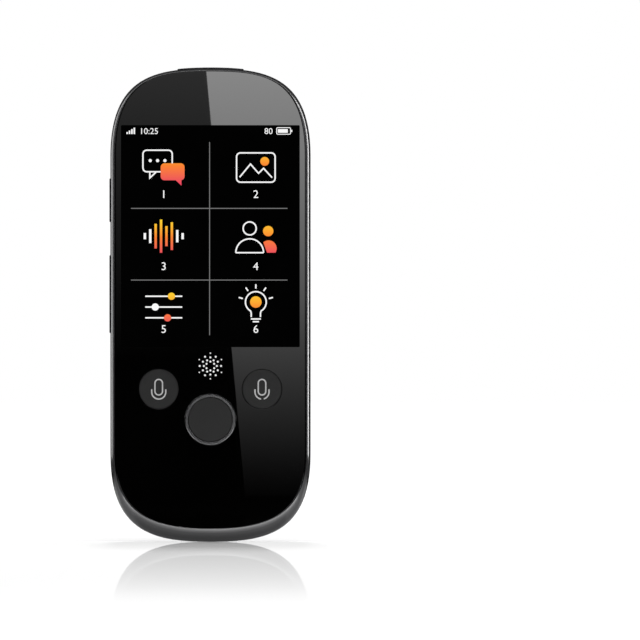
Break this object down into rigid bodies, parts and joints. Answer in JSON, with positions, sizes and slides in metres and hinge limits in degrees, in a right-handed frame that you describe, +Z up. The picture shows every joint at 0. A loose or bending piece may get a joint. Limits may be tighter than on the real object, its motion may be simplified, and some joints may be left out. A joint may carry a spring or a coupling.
{
  "type": "handheld voice translator",
  "caption": "Slim handheld voice translator with a touch screen, two talk keys, a home key in a ring, side keys, a rear camera and a fan of speaker holes.",
  "frame": {"origin": "middle of the lower end, at the centre of the bounding box seen from below", "axes": "+Z up along the length, -Y out of the screen, +X to the right when the screen is seen, towards the card tray"},
  "size_m": [0.0523, 0.0131, 0.1233],
  "materials": {
    "cover_black": "satin soft-touch dark grey",
    "band_plated": "plated, violet at the top running to blue at the bottom",
    "bezel_plated": "plated dark grey, satin gloss",
    "glass_black": "black-printed cover glass, polished",
    "adhesive": "black foam tape",
    "display_glass": "display panel",
    "backlight_steel": "pressed tray",
    "plate_steel": "pressed sheet",
    "screw_steel": "zinc plated",
    "post_brass": "turned",
    "ring_metal": "polished dark grey",
    "key_grey": "matte dark grey",
    "plunger_black": "moulded",
    "switch_body": "moulded",
    "board_green": "solder mask on glass epoxy",
    "light_guide": "milky diffuser",
    "lamp_white": "light emitting diodes",
    "card_black": "moulded",
    "card_white": "card stock plastic",
    "contact_gold": "gold plated",
    "flex_amber": "polyimide film",
    "battery_silver": "laminated pouch",
    "foam_black": "soft foam",
    "port_steel": "drawn shell",
    "mesh_black": "woven dust mesh",
    "trim_black": "gloss black",
    "window_glass": "coated glass"
  },
  "bodies": {
    "housing": {"backlight_unit": "backlight_steel", "battery_cap": "flex_amber", "battery_cell": "battery_silver", "battery_foam": "foam_black", "battery_tail": "flex_amber", "board_chips": "card_black", "camera_lens": "window_glass", "camera_module": "switch_body", "camera_trim": "trim_black", "camera_window": "window_glass", "card_connector_base": "switch_body", "card_connector_cage": "plate_steel", "card_contacts": "contact_gold", "chassis_plate": "plate_steel", "chassis_screws": "screw_steel", "cover_glass": "glass_black", "display_flex": "flex_amber", "display_panel": "display_glass", "front_bezel": "bezel_plated", "front_key_switches": "switch_body", "glass_adhesive": "adhesive", "home_key_ring": "ring_metal", "interconnect_flex": "flex_amber", "key_board": "board_green", "main_board": "board_green", "microphones": "port_steel", "mid_frame": "band_plated", "port_insert": "switch_body", "port_shell": "port_steel", "processor_shield": "plate_steel", "radio_shield": "plate_steel", "rear_cover": "cover_black", "side_key_switches": "switch_body", "side_switch_bracket": "plate_steel", "speaker_box": "switch_body", "speaker_cone": "card_black", "speaker_driver": "port_steel", "speaker_gasket": "foam_black", "speaker_mesh": "mesh_black", "status_lamps": "lamp_white", "status_light_guide": "light_guide", "sub_board": "board_green", "sub_board_posts": "post_brass", "sub_board_screws": "screw_steel", "top_key_switch": "switch_body"},
    "home_key": {"home_key": "key_grey", "home_plunger": "plunger_black"},
    "left_talk_key": {"left_talk_key": "key_grey", "left_talk_plunger": "plunger_black"},
    "right_talk_key": {"right_talk_key": "key_grey", "right_talk_plunger": "plunger_black"},
    "top_key": {"top_key": "band_plated", "top_key_plunger": "plunger_black"},
    "side_key": {"side_key": "band_plated", "side_key_plunger": "plunger_black"},
    "volume_rocker": {"volume_rocker": "band_plated", "volume_plungers": "plunger_black"},
    "card_tray": {"card_tray": "band_plated", "memory_card": "card_black", "sim_card": "card_white"}
  },
  "joints": [
    {"name": "home_key_press", "type": "slide", "parent": "housing", "child": "home_key", "axis": [0, 1, 0], "range_m": [0, 0.0003], "stiffness_N_per_m": 2000, "springref_m": -0.0004},
    {"name": "left_talk_key_press", "type": "slide", "parent": "housing", "child": "left_talk_key", "axis": [0, 1, 0], "range_m": [0, 0.0003], "stiffness_N_per_m": 2000, "springref_m": -0.0004},
    {"name": "right_talk_key_press", "type": "slide", "parent": "housing", "child": "right_talk_key", "axis": [0, 1, 0], "range_m": [0, 0.0003], "stiffness_N_per_m": 2000, "springref_m": -0.0004},
    {"name": "top_key_press", "type": "slide", "parent": "housing", "child": "top_key", "axis": [0, 0, -1], "range_m": [0, 0.0003], "stiffness_N_per_m": 2000, "springref_m": -0.0004},
    {"name": "side_key_press", "type": "slide", "parent": "housing", "child": "side_key", "axis": [1, 0, 0], "range_m": [0, 0.0003], "stiffness_N_per_m": 2000, "springref_m": -0.0004},
    {"name": "volume_rocker_tilt", "type": "hinge", "parent": "housing", "child": "volume_rocker", "pos_m": [-0.0237, -0.00125, 0.06435], "axis": [0, 1, 0], "range_deg": [-1.6, 1.6], "stiffness_Nm_per_rad": 0.3},
    {"name": "card_tray_slide", "type": "slide", "parent": "housing", "child": "card_tray", "axis": [1, 0, 0], "range_m": [0, 0.02]}
  ]
}
